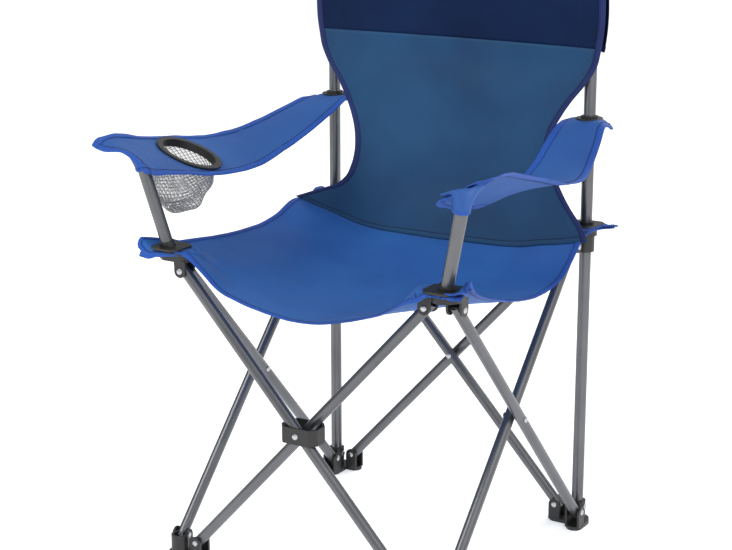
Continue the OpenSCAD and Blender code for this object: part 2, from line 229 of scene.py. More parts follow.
def woven(name, dark, light, pitch=0.9, through=0.0, roughness=0.62, gloss=0.35):
    """Coated polyester cloth; `through` is the share of light it lets pass."""
    m = Nodes(name)
    cloudy = m.noise(5.5, 4)
    threads = m.weave(pitch)
    mixed = m.math("MULTIPLY_ADD", threads, 0.12)
    mixed.node.inputs[2].default_value = -0.06
    colour = m.ramp(m.math("ADD", cloudy, mixed), dark, light, 0.32, 0.68)
    m.feed(m.shader.inputs["Base Color"], colour)
    dull = m.ramp(cloudy, (roughness - 0.07,) * 3, (roughness + 0.07,) * 3)
    m.feed(m.shader.inputs["Roughness"], dull)
    m.shader.inputs["Sheen Weight"].default_value = gloss / 7
    m.shader.inputs["Sheen Roughness"].default_value = 0.5
    m.shader.inputs["Specular IOR Level"].default_value = gloss
    normal = m.bump(threads, 0.35, 0.12)
    if through:
        glow = m.add("ShaderNodeBsdfTranslucent", Color=colour, Normal=normal)
        mix = m.add("ShaderNodeMixShader", Fac=through)
        m.feed(mix.inputs[1], m.shader.outputs[0])
        m.feed(mix.inputs[2], glow.outputs[0])
        m.feed(m.output.inputs["Surface"], mix.outputs[0])
    return m.material


def thread(name, colour):
    """Sewing thread or net strand, with its twist."""
    m = Nodes(name)
    twist = m.noise(1500, 2)
    shade = m.ramp(twist, [c * 0.75 for c in colour], colour, 0.3, 0.7)
    m.feed(m.shader.inputs["Base Color"], shade)
    m.feed(m.shader.inputs["Roughness"], m.ramp(twist, (0.5,) * 3, (0.7,) * 3))
    m.bump(twist, 0.5, 0.08)
    return m.material


TUBE = tube_metal()
PLASTIC = moulded_plastic("black_plastic", 0.016, 0.42)
CAP = moulded_plastic("black_cap", 0.012, 0.5)
STEEL = bright_steel()
SEAT_CLOTH = woven("seat_cloth", (0.012, 0.094, 0.365), (0.022, 0.140, 0.465), through=0.08)
ARM_CLOTH = woven("arm_cloth", (0.014, 0.085, 0.330), (0.024, 0.122, 0.420), through=0.1)
HEM_CLOTH = woven(
    "hem_cloth", (0.008, 0.064, 0.340), (0.014, 0.100, 0.470), pitch=0.7, through=0.04
)
# The back's cloth is painted darker than the seat's: painted shade for a back that faces away from the
# light.
SHADED_BACK_CLOTH = woven("back_cloth_painted_shade", (0.008, 0.056, 0.150), (0.016, 0.096, 0.235), through=0.25)
# The doubled top is the same cloth painted darker still: painted shade where two layers let less light
# through.
DOUBLE_BACK_SHADE = woven(
    "back_double_painted_shade", (0.003, 0.011, 0.046), (0.005, 0.021, 0.078), through=0.06, gloss=0.1
)
BINDING = woven("binding_tape", (0.003, 0.012, 0.085), (0.006, 0.026, 0.150), pitch=0.6)
THREAD = thread("navy_thread", (0.004, 0.012, 0.07))
NET_LIGHT = thread("net_light", (0.60, 0.60, 0.60))
# Dark grey thread: on the net's dark strands it is painted shade between the light strands; it also
# colours the rim binding.
NET_DARK_AND_SHADE = thread("net_dark_and_shade", (0.03, 0.03, 0.033))


# ---------- building meshes ----------

def curve(*points):
    """A smooth line through (key, value) points, level beyond both ends."""
    keys = [p[0] for p in points]
    values = [p[1] for p in points]
    slopes = list(np.gradient(values, keys))

    def read(key):
        key = min(max(key, keys[0]), keys[-1])
        i = max(0, min(len(keys) - 2, int(np.searchsorted(keys, key)) - 1))
        step = keys[i + 1] - keys[i]
        t = (key - keys[i]) / step
        return (
            values[i] * (2 * t ** 3 - 3 * t ** 2 + 1)
            + slopes[i] * step * (t ** 3 - 2 * t ** 2 + t)
            + values[i + 1] * (3 * t ** 2 - 2 * t ** 3)
            + slopes[i + 1] * step * (t ** 3 - t ** 2)
        )

    return read


def ripple(x, y, z, size, seed):
    """Smooth noise from about -0.7 to 0.7, with waves about `size` millimetres long."""
    return noise.noise(Vector((x / size + seed * 7.31, y / size - seed * 3.17, z / size)))


def steps(low, high, pitch):
    """Numbers from low to high, both included, about `pitch` apart."""
    count = max(1, round(abs(high - low) / pitch))
    return [low + (high - low) * i / count for i in range(count + 1)]


def add_mesh(name, points, faces, materials, uvs=None, kinds=None):
    """A smooth mesh object from points in millimetres. uvs, in metres, go point by point."""
    mesh = bpy.data.meshes.new(name)
    mesh.from_pydata([tuple(c * MM for c in p) for p in points], [], faces)
    for material in materials:
        mesh.materials.append(material)
    if kinds:
        mesh.polygons.foreach_set("material_index", kinds)
    if uvs:
        layer = mesh.uv_layers.new(name="UVMap")
        for loop in mesh.loops:
            layer.data[loop.index].uv = uvs[loop.vertex_index]
    mesh.polygons.foreach_set("use_smooth", [True] * len(mesh.polygons))
    mesh.update()
    made = bpy.data.objects.new(name, mesh)
    bpy.context.scene.collection.objects.link(made)
    return made


def run_lengths(points):
    """Distance along a row of points from its first one, in millimetres."""
    total, found = 0.0, [0.0]
    for a, b in zip(points, points[1:]):
        total += (b - a).length
        found.append(total)
    return found


def cloth(name, place, us, vs, materials, thick=0.8, skip=None, kind=None, closed=False, rim=True):
    """A sheet of quads over place(u, v), thickened about its middle.

    skip(point) leaves out the faces round a point; kind(point) picks a face's material;
    closed joins the last column to the first; rim closes the cut edges, which a hem hides.
    """
    grid = [[Vector(place(u, v)) for u in us] for v in vs]
    across = [run_lengths(row) for row in grid]
    along = run_lengths([row[len(us) // 2] for row in grid])
    count = len(us)
    points = [p for row in grid for p in row]
    uvs = [
        ((a[j] - a[-1] / 2) * MM, along[i] * MM)
        for i, a in enumerate(across)
        for j in range(count)
    ]
    faces, kinds = [], []
    for i in range(len(vs) - 1):
        for j in range(count if closed else count - 1):
            k = (j + 1) % count
            face = (i * count + j, i * count + k, (i + 1) * count + k, (i + 1) * count + j)
            if skip and any(skip(points[n]) for n in face):
                continue
            faces.append(face)
            kinds.append(kind(points[face[0]]) if kind else 0)
    used = sorted({n for face in faces for n in face})
    new = {n: i for i, n in enumerate(used)}
    made = add_mesh(
        name,
        [points[n] for n in used],
        [tuple(new[n] for n in face) for face in faces],
        materials,
        [uvs[n] for n in used],
        kinds,
    )
    solid = made.modifiers.new("thickness", "SOLIDIFY")
    solid.thickness = thick * MM
    solid.offset = 0
    solid.use_rim = rim
    return made


class Edge:
    """A line on a surface, with the way into the cloth from each of its points."""

    def __init__(self, place, line, closed=False, flip=False):
        """line holds (u, v, du, dv): a point and the direction inwards, in u and v."""
        self.place, self.line, self.closed = place, line, closed
        self.side = -1 if flip else 1

    def at(self, station, depth, lift):
        """The point `depth` millimetres inside the edge and `lift` above the cloth."""
        u, v, du, dv = station
        tiny = 0.004
        start = Vector(self.place(u, v))
        ahead = (Vector(self.place(u + du * tiny, v + dv * tiny)) - start) / tiny
        speed = max(ahead.length, 1e-6)
        if depth > 0:
            u, v = u + du * depth / speed, v + dv * depth / speed
            spot = Vector(self.place(u, v))
        else:
            spot = start + ahead / speed * depth
        by_u = Vector(self.place(u + tiny, v)) - Vector(self.place(u - tiny, v))
        by_v = Vector(self.place(u, v + tiny)) - Vector(self.place(u, v - tiny))
        return spot + by_u.cross(by_v).normalized() * self.side * lift


def hem(name, edge, material, width=12.0, bulk=1.0, waver=0.0, seed=1):
    """A strip folded over an edge and sewn down on both faces of the cloth."""
    half = [(width, 0.35), (width - 0.3, 0.85), (width * 0.7, 1.1), (width * 0.3, 1.15), (0.7, 0.9)]
    profile = half + [(-0.7, 0.0)] + [(s, -n) for s, n in reversed(half)]
    rings, uvs = [], []
    for station in edge.line:
        rest = edge.at(station, 0, 0)
        wave = waver * ripple(rest.x, rest.y, rest.z, 34, seed)
        rings.append([
            edge.at(station, s + wave * 0.3 * (s > 1), n * bulk + wave) for s, n in profile
        ])
    along = run_lengths([ring[5] for ring in rings])
    count = len(profile)
    for length, ring in zip(along, rings):
        around = run_lengths(ring)
        uvs += [(around[k] * MM, length * MM) for k in range(count)]
    faces = []
    last = len(rings) if edge.closed else len(rings) - 1
    for i in range(last):
        for k in range(count):
            a, b = i * count, (i + 1) % len(rings) * count
            m = (k + 1) % count
            faces.append((a + k, a + m, b + m, b + k))
    if not edge.closed:
        faces.append(tuple(range(count - 1, -1, -1)))
        faces.append(tuple((len(rings) - 1) * count + k for k in range(count)))
    return add_mesh(name, [p for ring in rings for p in ring], faces, [material], uvs)


def tube_mesh(lines, radius, sides, closed=False):
    """Points and faces of round strands along several lines of points."""
    points, faces = [], []
    for line in lines:
        base, count = len(points), len(line)
        for i, spot in enumerate(line):
            ahead = line[(i + 1) % count] if closed or i < count - 1 else spot
            behind = line[i - 1] if closed or i else spot
            way = (ahead - behind).normalized()
            first = way.orthogonal() if i == 0 else first - way * first.dot(way)
            first.normalize()
            second = way.cross(first)
            for k in range(sides):
                turn = 2 * math.pi * k / sides
                points.append(spot + (first * math.cos(turn) + second * math.sin(turn)) * radius)
        for i in range(count if closed else count - 1):
            for k in range(sides):
                a, b = base + i * sides, base + (i + 1) % count * sides
                m = (k + 1) % sides
                faces.append((a + k, a + m, b + m, b + k))
        if not closed:
            faces.append(tuple(base + k for k in range(sides - 1, -1, -1)))
            faces.append(tuple(base + (count - 1) * sides + k for k in range(sides)))
    return points, faces


def stitch_line(points, normals, pitch, length, radius):
    """Short rounded stitches laid end to end along a line."""
    along = run_lengths(points)
    made, faces = [], []
    shape = [(-0.5, 0.25), (-0.3, 1.0), (0.3, 1.0), (0.5, 0.25)]
    for number in range(int(along[-1] / pitch)):
        at = (number + 0.5) * pitch
        i = min(len(points) - 2, int(np.searchsorted(along, at)) - 1)
        share = (at - along[i]) / max(along[i + 1] - along[i], 1e-6)
        spot = points[i].lerp(points[i + 1], share)
        way = (points[i + 1] - points[i]).normalized()
        up = normals[i]
        side = way.cross(up).normalized()
        base = len(made)
        for s, r in shape:
            for k in range(5):
                turn = 2 * math.pi * k / 5
                out = side * math.cos(turn) + up * math.sin(turn)
                made.append(spot + way * s * length + out * radius * r)
        for i in range(len(shape) - 1):
            for k in range(5):
                a, b, m = base + i * 5, base + i * 5 + 5, (k + 1) % 5
                faces.append((a + k, a + m, b + m, b + k))
        faces.append(tuple(base + k for k in range(4, -1, -1)))
        faces.append(tuple(base + 15 + k for k in range(5)))
    return made, faces


def stitching(name, edges, depth, lift, pitch=3.6, length=2.9, radius=0.42):
    """One row of stitches on each face of the cloth, `depth` inside each edge."""
    points, faces = [], []
    for edge in edges:
        for side in (1, -1):
            line = [edge.at(s, depth, side * lift) for s in edge.line]
            up = [edge.at(s, depth, side * (lift + 1)) - p for s, p in zip(edge.line, line)]
            if edge.closed:
                line.append(line[0])
                up.append(up[0])
            made, found = stitch_line(line, up, pitch, length, radius)
            faces += [tuple(n + len(points) for n in face) for face in found]
            points += made
    return add_mesh(name, points, faces, [THREAD])


# ---------- seat ----------

SEAT_HALF_WIDTH = 243
FRONT_OVERHANG = 26
REAR_OVERHANG = 16
# Height of the side edges: (distance behind the chair's middle, height over the floor)
SEAT_EDGE = {
    -1: curve((-240, 482), (-204, 481), (-145, 475), (-89, 469), (-30, 462), (28, 463), (76, 470),
              (105, 479), (130, 483), (160, 481), (229, 478)),
    1: curve((-240, 480), (-200, 478), (-172, 468), (-145, 457), (-112, 445), (-58, 430), (21, 417),
             (65, 419), (105, 433), (132, 455), (150, 475), (168, 481), (229, 478)),
}
seat_sag = curve((0, 72), (0.25, 79), (0.5, 79), (0.7, 68), (0.82, 50), (0.92, 34), (1, 30))
PATCH = [(-44, -25), (34, -21), (46, -8), (46, 18), (18, 46), (-22, 46), (-28, 28)]
PATCH_LAP = 11  # how far the seat's cloth runs in under a patch
PATCH_HOLE_R = 14.5  # the hole in a patch that a tube goes through
HEM_DROOP = {-1: 15, 1: 4}  # how far the front hem hangs before a front hub's plate


def to_corner(x, y):
    """A point in plan as seen from the nearest hub: +x and +y point into the seat."""
    return CORNER_X - abs(x), min(y - FRONT_Y, REAR_Y - y)


def outside_hub(x, y):
    """Distance in plan outside the deck and the plate of the nearest hub."""
    lx, ly = to_corner(x, y)
    front = y < MID_Y
    plane = 9 if (x > 0) == front else -9
    reach = 18 if front else 28
    across = math.hypot(lx - min(max(lx, 4), 30), ly - plane) - 12.5
    along = math.hypot(lx + plane, ly - min(max(ly, 4), reach)) - 12.5
    return max(0, min(across, along, math.hypot(lx, ly) - 25))


def seat_width(t):
    """Half the seat's width: it flares to the hubs at both ends."""
    way = 2 * min(1, max(0, t)) - 1
    return SEAT_HALF_WIDTH + (20 * way ** 4 if way < 0 else 22 * way ** 2.5)


def seat_hems(u):
    """Where the front and rear hems are, front to rear, at u across."""
    c = 1 - u * u
    return FRONT_Y - FRONT_OVERHANG + 12 * c, REAR_Y + REAR_OVERHANG - 62 * c * abs(c)


def seat(u, t):
    """The seat's surface: u from -1 to 1 across, t from the front hem to the rear hem."""
    x = u * seat_width(t)
    front_hem, rear_hem = seat_hems(u)
    y = front_hem + t * (rear_hem - front_hem)
    tightness = 1.15 if u < 0 else 1.2 + 0.5 * max(0, 1 - t / 0.3)
    bowl = max(0, 1 - u * u) ** tightness
    sling = (CLOTH_Z - seat_sag(t)) * bowl + SEAT_EDGE[-1 if u < 0 else 1](y - MID_Y) * (1 - bowl)
    deck = CLOTH_Z - max(0, outside_hub(x, y) - 1)
    soft = 12
    blend = max(0, 1 - abs(sling - deck) / soft)
    z = max(sling, deck) + soft * blend * blend / 4
    calm = min(1, outside_hub(x, y) / 30)
    if calm == 0:
        z = min(z, CLOTH_Z)
    lx, ly = to_corner(x, y)
    if y < MID_Y:
        over = max(0, -ly - 15) / 11
        z -= over * over * HEM_DROOP[-1 if x < 0 else 1] * (1 - min(1, max(0, lx - 30) / 70)) ** 2
    reach = math.hypot(lx, ly)
    pull = math.exp(-((reach - 95) / 60) ** 2) * math.sin(7 * math.atan2(ly + 30, lx + 30) + 1.3)
    z += calm * (1.8 * pull + 3.2 * ripple(x, y, 0, 120, 1) + 1.1 * ripple(x, y, 0, 38, 2))
    return x, y, z


def seat_at(x, y):
    """The seat's height at a point in plan, held level beyond its edges."""
    t = 0.5
    for _ in range(5):
        u = min(1, max(-1, x / seat_width(t)))
        front_hem, rear_hem = seat_hems(u)
        t = min(1, max(0, (y - front_hem) / (rear_hem - front_hem)))
    return seat(u, t)[2]


def patch_outline():
    """The patch's plan with its corners rounded, as directions and reaches from its middle."""
    ring = [Vector((x, y, 0)) for x, y in PATCH]
    rounded = []
    for i, spot in enumerate(ring):
        before, after = ring[i - 1], ring[(i + 1) % len(ring)]
        cut = 7 if i else 5
        start = spot + (before - spot).normalized() * cut
        end = spot + (after - spot).normalized() * cut
        for k in range(5):
            t = k / 4
            rounded.append(start * (1 - t) ** 2 + spot * 2 * t * (1 - t) + end * t * t)
    closed = rounded + [rounded[0]]
    along = run_lengths(closed)
    count = 96
    outline = []
    for k in range(count):
        at = along[-1] * k / count
        i = min(len(closed) - 2, int(np.searchsorted(along, at, side="right")) - 1)
        outline.append(closed[i].lerp(closed[i + 1], (at - along[i]) / (along[i + 1] - along[i])))
    return outline


OUTLINE = patch_outline()


def patch_surface(side_x, side_y, tip, droop, twist, crest):
    """The cloth on a hub: k goes round its outline, r from its middle (0) to its edge (1).

    tip lifts its outer corner, droop lowers its free front or rear hem, twist lowers that
    hem's inner end and lifts its outer end, and crest is a fold on the outer side.
    """
    middle = Vector((2, 6, 0))

    def place(k, r):
        k = k % len(OUTLINE)
        low = OUTLINE[int(k) % len(OUTLINE)]
        high = OUTLINE[(int(k) + 1) % len(OUTLINE)]
        spot = middle + (low.lerp(high, k - int(k)) - middle) * r
        x, y = side_x * (CORNER_X - spot.x), FRONT_Y + spot.y if side_y > 0 else REAR_Y - spot.y
        rise = tip * max(0, (-spot.x - 22) / 18) ** 1.5
        over = max(0, -spot.y - 12) / 14
        fall = over * over * (droop + twist * spot.x / 26 + 1.5 * math.sin(spot.x / 9))
        fold = crest * math.exp(-((spot.x + 34) / 11) ** 2 - ((spot.y - 8) / 13) ** 2)
        wave = 0.9 * ripple(x, y, 0, 22, 5) * min(1, max(0, math.hypot(spot.x, spot.y) - 27) / 8)
        inner = min(1, max(0, spot.x + 10, spot.y + 10) / 50)
        return x, y, seat_at(x, y) + 0.9 - 0.3 * inner + rise - fall + fold + wave * (1 - inner)

    return place


def in_patch(x, y, shrink):
    """True if a point lies inside a patch's plan, shrunk by that much."""
    lx, ly = to_corner(x, y)
    inside = True
    for i, (ax, ay) in enumerate(PATCH):
        bx, by = PATCH[(i + 1) % len(PATCH)]
        size = math.hypot(bx - ax, by - ay)
        off = ((bx - ax) * (ly - ay) - (by - ay) * (lx - ax)) / size
        inside = inside and off > shrink
    return inside


def under_patch(p):
    return in_patch(p.x, p.y, PATCH_LAP)


def crumple_seat(piece, body):
    """Hangs a seat piece on its body and gives it a mesh of its own."""
    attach(piece, body)
    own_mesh(piece)


def make_seat(side, body):
    us = [0, 0.003, *steps(0.02, 1, 0.02)] if side > 0 else [*steps(-1, -0.02, 0.02), -0.003, 0]
    ts = steps(0, 1, 0.0105)
    panel = cloth(body + "_cloth", seat, us, ts, [SEAT_CLOTH], skip=under_patch, rim=False)

    def clear(line):
        """Keeps the stations of an edge that lie clear of the patches' middles."""
        return [s for s in line if not in_patch(*seat(s[0], s[1])[:2], 4)]

    front = clear([(u, 0, 0, 1) for u in steps(0, side, 0.012)])
    rear = clear([(u, 1, 0, -1) for u in steps(0, side, 0.012)])
    flank = clear([(side, t, -side, 0) for t in steps(0, 1, 0.008)])
    edges = [Edge(seat, front), Edge(seat, rear), Edge(seat, flank)]
    hems = [
        hem(f"{body}_hem_{where}", edge, HEM_CLOTH, width=9, waver=w, seed=side + 3)
        for where, edge, w in zip(("front", "rear", "side"), edges, (0.8, 0.5, 0.8))
    ]
    sewn = stitching(body + "_stitching", edges, 7.6, 1.4)
    for piece in [panel, *hems, sewn]:
        crumple_seat(piece, body)
    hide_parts(body)


def make_patch(side_x, side_y, name, body, **folds):
    """The part of the seat that a hub's plate clamps, hemmed on its outer sides only."""
    place = patch_surface(side_x, side_y, **folds)
    count = len(OUTLINE)
    flip = side_x * side_y < 0
    ks = list(range(count)) if not flip else list(range(count - 1, -1, -1))
    tube = Vector((side_x * CORNER_X, FRONT_Y if side_y > 0 else REAR_Y))
    skip = lambda p: (Vector((p.x, p.y)) - tube).length < PATCH_HOLE_R
    rings = steps(0.12, 1, 0.08)
    panel = cloth(name + "_cloth", place, ks, rings, [SEAT_CLOTH], skip=skip, closed=True)
    outer = [k for k in ks if OUTLINE[k].x < -18 or OUTLINE[k].y < -9]
    gap = max(range(len(outer)), key=lambda i: abs(outer[i] - outer[i - 1]) % (count - 1))
    outer = outer[gap:] + outer[:gap]
    edge = Edge(place, [(k, 1, 0, -1) for k in outer])
    seed = side_x + 3 * side_y
    band = hem(name + "_hem", edge, HEM_CLOTH, width=7, bulk=1.2, waver=0.2, seed=seed)
    sewn = stitching(name + "_stitching", [edge], 5.7, 1.6)
    for piece in (panel, band, sewn):
        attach(piece, body)
    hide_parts(name)


# ---------- back ----------

SEAM_Z = CLOTH_Z + 3
DOUBLE_Z = 748
# Half width by height: the right side hangs wider near the seat than the left
back_half = {
    -1: curve((SEAM_Z, 256), (496, 216), (508, 184), (520, 170), (540, 162), (560, 160), (590, 164),
              (620, 175), (645, 188), (669, 203), (693, 223), (720, 239), (745, 245), (900, 246)),
    1: curve((SEAM_Z, 260), (492, 254), (503, 244), (520, 225), (546, 202), (575, 183), (600, 176),
             (623, 179), (646, 190), (671, 206), (693, 223), (720, 239), (745, 245), (900, 246)),
}
back_ahead = curve(
    (SEAM_Z, 72), (540, 50), (600, 33), (680, 20), (720, 13.5), (748, 12.5), (900, 12.5)
)
BACK_TOP = CAP_TOP + 5
SLEEVE_IN = 20  # from the upright's axis to each side of its sleeve


def back_x(u, z):
    return u * back_half[-1 if u < 0 else 1](z)


def back_dip(u, z):
    """The lower edge lies on the seat, and the cloth above it hangs down with it."""
    x, y = back_x(u, SEAM_Z), REAR_Y - back_ahead(SEAM_Z)
    return (SEAM_Z - seat_at(x, y) - 1.2) * max(0, 1 - (z - SEAM_Z) / 110) ** 1.3


def back_closing(z):
    """How far the two layers stand apart at a height, from 1 down to 0 at the top edge."""
    rise = max(0, (z - (BACK_TOP - 26)) / 26)
    return math.sqrt(max(0, 1 - rise * rise))


def back_front(u, z):
    """The front layer: u from -1 to 1 across, at height z."""
    x = back_x(u, z)
    open_share = (BACK_TOP - z) / 120
    hollow = (1 - u * u) * min(1, max(0, open_share) + 0.3, (z - SEAM_Z) / 60)
    y = REAR_Y - back_ahead(z) * back_closing(z) + 9 * hollow * back_closing(z)
    low = min(1, max(0, (z - SEAM_Z) / 60))
    calm = low * min(1, (1 - abs(u)) / 0.25) * back_closing(z)
    slant = math.sin((x * 0.8 + (z - 600) * 0.55) / 34 + 1.4 * math.sin(z / 70))
    y += calm * (2.4 * slant * math.exp(-((u + 0.35) / 0.5) ** 2)
                 + 5.5 * ripple(x, 0, z, 110, 3) + 1.6 * ripple(x, 0, z, 40, 4))
    if z > DOUBLE_Z - 30:
        y = min(y, REAR_Y + 7)
    return x, y, z - back_dip(u, z)


def back_rear(u, z):
    """The rear layer of the doubled top, behind the uprights."""
    x = back_x(u, z)
    taut = 1 - max(0, 1 - abs(abs(x) - CORNER_X) / 60)
    y = REAR_Y + (11.5 - 1.5 * taut + 1.2 * ripple(x, 0, z, 60, 8)) * back_closing(z)
    edge = max(0, (abs(u) - 0.93) / 0.07)
    return x, y - edge * edge * 10 * back_closing(z), z


def crumple_back(piece):
    """Hangs a back piece on the rear left foot's body and gives it a mesh of its own."""
    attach(piece, "foot_rear_left")
    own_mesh(piece)


def make_back():
    us = steps(-1, 1, 0.022)
    low = steps(SEAM_Z, DOUBLE_Z, 5)
    high = steps(DOUBLE_Z, BACK_TOP, 4.5)
    # Faces above DOUBLE_Z take the doubled top's painted shade.
    lower = cloth("back_lower_cloth", back_front, us, low, [SHADED_BACK_CLOTH, DOUBLE_BACK_SHADE],
                  kind=lambda p: 1 if p.z > DOUBLE_Z else 0)
    upper = cloth("back_upper_cloth", back_front, us, high, [DOUBLE_BACK_SHADE])
    behind = steps(DOUBLE_Z - 6, BACK_TOP, 5)
    rear = cloth("back_rear_cloth", back_rear, us[::-1], behind, [DOUBLE_BACK_SHADE])
    sides, tops = [], []
    for side, name in ((-1, "left"), (1, "right")):
        line = [(side, z, -side * 0.01, 0) for z in steps(SEAM_Z, BACK_TOP, 4)]
        edge = Edge(back_front, line)
        band = hem(
            f"back_binding_{name}", edge, BINDING, width=10, bulk=1.3, waver=0.5, seed=side + 9
        )
        sides.append((edge, band))
    top = Edge(back_front, [(u, BACK_TOP, 0, -1) for u in steps(-1, 1, 0.02)])
    tops.append(hem("back_binding_top", top, BINDING, width=10, bulk=1.4, waver=0.5, seed=4))
    foot = Edge(back_front, [(u, SEAM_Z, 0, 1) for u in steps(-1, 1, 0.02)])
    seam = hem("back_seam", foot, SHADED_BACK_CLOTH, width=8, bulk=0.8, waver=0.4, seed=6)
    ledge = Edge(back_rear, [(u, DOUBLE_Z - 6, 0, 1) for u in steps(-1, 1, 0.02)])
    ledge_hem = hem("back_rear_hem", ledge, BINDING, width=11, bulk=1.0, seed=7)
    sleeves = [
        Edge(back_front, [(side * (CORNER_X - SLEEVE_IN) / 246, z, -side * 0.01, 0)
                          for z in steps(DOUBLE_Z, BACK_TOP - 12, 4)])
        for side in (-1, 1)
    ]
    sewn = stitching("back_stitching", [e for e, _ in sides] + [top, foot], 8.4, 1.75)
    tacked = stitching("back_sleeve_stitching", sleeves, 0, 0.6)
    hems = [h for _, h in sides] + tops
    for piece in [lower, upper, rear, *hems, seam, ledge_hem, sewn, tacked]:
        crumple_back(piece)
    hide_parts("back_lower")
    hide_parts("back_upper")


# ---------- armrests ----------

# Stations of the straps: y from the chair's middle, centre x, z, half width, slope in
# degrees with the inner edge lower, for the arm with the cup holder and for the other.
ARM = {
    -1: [(-278, -262, 630, 50, 20), (-262, -261, 623, 56, 23), (-236, -258, 618, 60, 23),
         (-190, -252, 607.5, 61, 22), (-90, -245, 593.5, 58, 22), (-40, -242, 591, 52, 21),
         (30, -238, 598, 46, 17), (130, -230, 622, 41, 9), (185, -226, 637.5, 37, 3),
         (197, -225, 641, 36, 0), (240, -225, 641.4, 35, 0)],
    1: [(-250, 270, 627, 34, 24), (-240, 266, 625, 44, 27), (-222, 261, 620, 52, 29),
        (-190, 256, 613, 54, 31),
        (-133, 252, 600, 52, 33), (-92, 250, 592, 50, 31), (-34, 246, 583, 48, 22),
        (15, 242, 579, 46, 12), (60, 238, 579, 45, 3), (106, 234, 589, 43, -8),
        (140, 230, 606, 41, -13), (175, 227, 628, 38, -8), (194, 225, 640, 36, 0),
        (240, 225, 641.4, 35, 0)],
}
ARM_FOLD_Y = 30
ARM_END_R = 36  # the rounded end behind the grommet
ARM_HOLE_R = 12.5  # the hole that an upright goes through


def rounded_half(behind, width):
    """Half the width of a strap's rounded end, `behind` the grommet."""
    return max(0.5, math.sqrt(max(0.0, ARM_END_R ** 2 - behind ** 2)) * width / ARM_END_R)


def arm_surface(side):
    """The armrest's middle surface: u from its left to its right edge, y along the chair."""
    table = ARM[side]
    centre, height, half, slope = (curve(*[(s[0], s[k]) for s in table]) for k in (1, 2, 3, 4))
    end = REAR_Y - MID_Y  # the grommet's place

    def place(u, y):
        width = half(y)
        if y > end:
            width = rounded_half(y - end, half(end))
        lean = math.radians(slope(y)) * side
        x = centre(y) + u * width * math.cos(lean)
        z = height(y) - 0.8 + u * width * math.sin(lean)
        front = max(0, min(1, (-205 - y) / 60))
        outer = side * u
        z += front * (3.5 * ripple(x, y, 0, 26, 11 + side) + 5.0 * front * math.sin(3.1 * u + 0.8))
        z += 1.6 * (1 - front) * ripple(x, y, 0, 70, 12) * max(0, min(1, (150 - y) / 60))
        z -= 2.5 * max(0, outer) * front
        off = math.hypot(u * width, max(0, y - end))
        hang = max(0, off - 19) / 17 * max(0, min(1, (y - end + 40) / 40))
        z -= hang ** 1.6 * (15 if outer > 0 else 5)
        if side < 0:
            z -= 9 * max(0, (-256 - y) / 22) ** 2
        return x, y + MID_Y - 6 * front * u * u, z

    return place


def crease(piece):
    """Bakes the piece's placing into its mesh."""
    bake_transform(piece)


CUP_R = 41
ARM_THICK = 0.9
POCKET_POINTS = 40  # round a pocket's mouth


def cup_frame():
    """The cup ring's middle and axis, from the record's mount, in millimetres."""
    mount = next(m for m in frame["record"]["mounts"] if m["name"] == "cup_ring")
    axis = Vector(mount["axis"]).normalized()
    return Vector(mount["pos_m"]) / MM + axis * 3.1, axis


CUP, CUP_AXIS = cup_frame()


def in_cup(p):
    off = p - CUP
    along = off.dot(CUP_AXIS)
    return abs(along) < 40 and (off - CUP_AXIS * along).length < CUP_R + 4


def arm_outline(side, place):
    """The rear half's free edge as an Edge: up one side, round the end and down the other.

    Its surface runs from the strap's middle line (r = 0) to the outline (r = 1), so that a
    hem can turn in towards the middle all the way round.
    """
    end = REAR_Y - MID_Y
    half = curve(*[(s[0], s[3]) for s in ARM[side]])
    straight = [(-1, y) for y in steps(ARM_FOLD_Y, end, 3.5)[:-1]]
    round_end = [(-math.cos(math.radians(a)), end + ARM_END_R * math.sin(math.radians(a)))
                 for a in range(0, 181, 6)]
    line = straight + round_end + [(1, y) for _, y in reversed(straight)]

    def spot(k, r):
        k = min(max(k, 0), len(line) - 1.001)
        share = k - int(k)
        (a, y0), (b, y1) = line[int(k)], line[int(k) + 1]
        off, y = a + (b - a) * share, y0 + (y1 - y0) * share
        base = min(y, end)
        width = half(base)
        y = base + r * (y - base)
        here = width if y <= end else rounded_half(y - end, width)
        return place(off * r * width / here, y)

    return Edge(spot, [(k, 1, 0, -1) for k in range(len(line))])


def make_pocket(side, word, hub, place):
    """The pocket under the strap's front end that hides the top of the arm post."""
    low, high = corners_mm("arm_post_" + word)
    foot = Vector((side * CORNER_X, FRONT_Y, low.z))
    cap = middle_mm("post_cap_" + word)
    axis = (Vector((cap.x, cap.y, high.z)) - foot).normalized()
    first = axis.orthogonal().normalized()
    second = axis.cross(first)
    top = foot + axis * ((high.z - foot.z) / axis.z)
    lean = math.radians(26) * side
    shape = curve((0, 11.8), (0.35, 12.6), (0.7, 16), (1, 25))

    def spot(k, r):
        turn = 2 * math.pi * k / POCKET_POINTS
        pleat = 1 + r * (0.13 * math.sin(7 * turn + side) + 0.07 * math.sin(3 * turn))
        out = first * math.cos(turn) + second * math.sin(turn)
        reach = out * shape(r) * pleat
        level = top + reach
        u = min(1, max(-1, (level.x - side * 259) / (52 * math.cos(lean))))
        roof = place(u, level.y - MID_Y)[2] - 0.9
        base = top + reach - axis * 16
        return base + axis * ((roof - base.z) * r / axis.z)

    name = f"armrest_{word}_pocket"
    around = list(range(POCKET_POINTS))
    pocket = cloth(name, spot, around, steps(0, 1, 0.12), [ARM_CLOTH], ARM_THICK, closed=True)
    ring = Edge(spot, [(k, 0, 0, 1) for k in around], closed=True)
    band = hem(name + "_hem", ring, HEM_CLOTH, width=5, bulk=0.8, waver=0.3, seed=side + 20)
    return [pocket, band]


